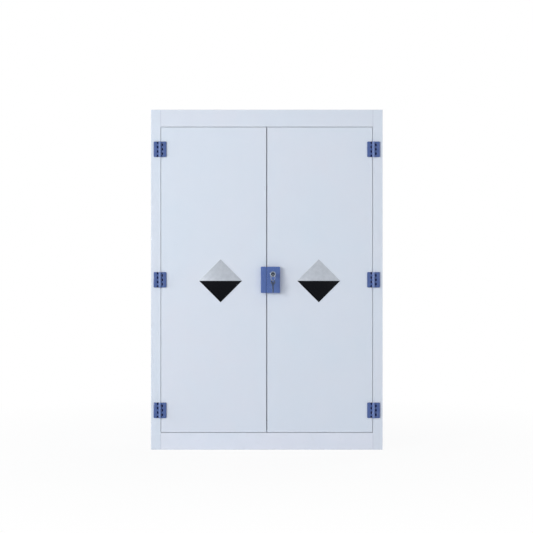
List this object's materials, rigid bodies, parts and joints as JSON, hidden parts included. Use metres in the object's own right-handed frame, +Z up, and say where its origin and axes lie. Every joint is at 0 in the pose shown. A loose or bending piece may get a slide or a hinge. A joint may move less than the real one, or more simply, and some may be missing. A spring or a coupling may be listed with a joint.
{
  "type": "two-door reagent cabinet",
  "caption": "Tall white plastic reagent cabinet with inset hinged doors, blue knuckle hinges, a blue key lock with hanging keys, and lift-out tray shelves over a sump.",
  "frame": {"origin": "middle of the base, on the floor, under the centre rib", "axes": "+Z up, -Y out of the doors, +X to the right as seen from the front"},
  "size_m": [1.124, 0.5423, 1.65],
  "materials": {
    "white_plastic": "satin white polypropylene sheet, welded",
    "blue_plastic": "satin blue moulded polypropylene",
    "plated_metal": "bright nickel plate, lightly worn",
    "steel": "plain stainless steel"
  },
  "bodies": {
    "cabinet": {"left_side_panel": "white_plastic", "right_side_panel": "white_plastic", "top_panel": "white_plastic", "back_panel": "white_plastic", "floor_panel": "white_plastic", "base_ribs": "white_plastic", "left_stile": "white_plastic", "right_stile": "white_plastic", "top_rail": "white_plastic", "plinth_rail": "white_plastic", "left_door_stop": "white_plastic", "right_door_stop": "white_plastic", "top_door_stop": "white_plastic", "bottom_door_stop": "white_plastic", "sump_tray": "white_plastic", "left_front_upright": "white_plastic", "left_rear_upright": "white_plastic", "right_front_upright": "white_plastic", "right_rear_upright": "white_plastic", "shelf_clips": "white_plastic", "top_bolt_strike": "white_plastic", "bottom_bolt_strike": "white_plastic", "left_hinge_frame_leaves": "blue_plastic", "right_hinge_frame_leaves": "blue_plastic", "left_hinge_pins": "steel", "right_hinge_pins": "steel"},
    "left_door": {"left_door_panel": "white_plastic", "left_door_frame": "white_plastic", "left_hinge_door_leaves": "blue_plastic", "lock_keeper": "blue_plastic", "top_bolt_guide": "white_plastic", "bottom_bolt_guide": "white_plastic"},
    "right_door": {"right_door_panel": "white_plastic", "right_door_frame": "white_plastic", "right_hinge_door_leaves": "blue_plastic", "lock_case": "blue_plastic", "lock_cylinder": "plated_metal"},
    "key": {"key_plug": "plated_metal", "lock_cam": "steel", "door_key": "plated_metal"},
    "lock_bolt": {"lock_bolt": "blue_plastic"},
    "key_ring": {"key_ring": "plated_metal"},
    "spare_key": {"spare_key": "plated_metal"},
    "top_bolt": {"top_slide_bolt": "blue_plastic"},
    "bottom_bolt": {"bottom_slide_bolt": "blue_plastic"},
    "shelf_1": {"shelf_tray_1": "white_plastic"},
    "shelf_2": {"shelf_tray_2": "white_plastic"},
    "shelf_3": {"shelf_tray_3": "white_plastic"}
  },
  "joints": [
    {"name": "left_door_swing", "type": "hinge", "parent": "cabinet", "child": "left_door", "pos_m": [-0.518, -0.2374, 0.8245], "axis": [0, 0, -1], "range_deg": [0, 180]},
    {"name": "right_door_swing", "type": "hinge", "parent": "cabinet", "child": "right_door", "pos_m": [0.518, -0.2374, 0.8245], "axis": [0, 0, 1], "range_deg": [0, 180]},
    {"name": "key_turn", "type": "hinge", "parent": "right_door", "child": "key", "pos_m": [0.0295, -0.258, 0.8515], "axis": [0, 1, 0], "range_deg": [0, 90]},
    {"name": "lock_bolt_slide", "type": "slide", "parent": "right_door", "child": "lock_bolt", "axis": [-1, 0, 0], "range_m": [0, 0.014]},
    {"name": "key_ring_swing", "type": "hinge", "parent": "key", "child": "key_ring", "pos_m": [0.0295, -0.3013, 0.8515], "axis": [-1, 0, 0], "range_deg": [-3, 80]},
    {"name": "spare_key_swing", "type": "hinge", "parent": "key_ring", "child": "spare_key", "pos_m": [0.0295, -0.3013, 0.8215], "axis": [-0.7071, -0.7071, 0], "range_deg": [-3, 70]},
    {"name": "top_bolt_slide", "type": "slide", "parent": "left_door", "child": "top_bolt", "axis": [0, 0, 1], "range_m": [0, 0.015]},
    {"name": "bottom_bolt_slide", "type": "slide", "parent": "left_door", "child": "bottom_bolt", "axis": [0, 0, -1], "range_m": [0, 0.015]},
    {"name": "shelf_1_lift", "type": "slide", "parent": "cabinet", "child": "shelf_1", "axis": [0, 0, 1], "range_m": [0, 0.04]},
    {"name": "shelf_2_lift", "type": "slide", "parent": "cabinet", "child": "shelf_2", "axis": [0, 0, 1], "range_m": [0, 0.04]},
    {"name": "shelf_3_lift", "type": "slide", "parent": "cabinet", "child": "shelf_3", "axis": [0, 0, 1], "range_m": [0, 0.04]}
  ],
  "couplings": [
    {"joint": "lock_bolt_slide", "follows": "key_turn", "m_per_rad": 0.0089127}
  ]
}
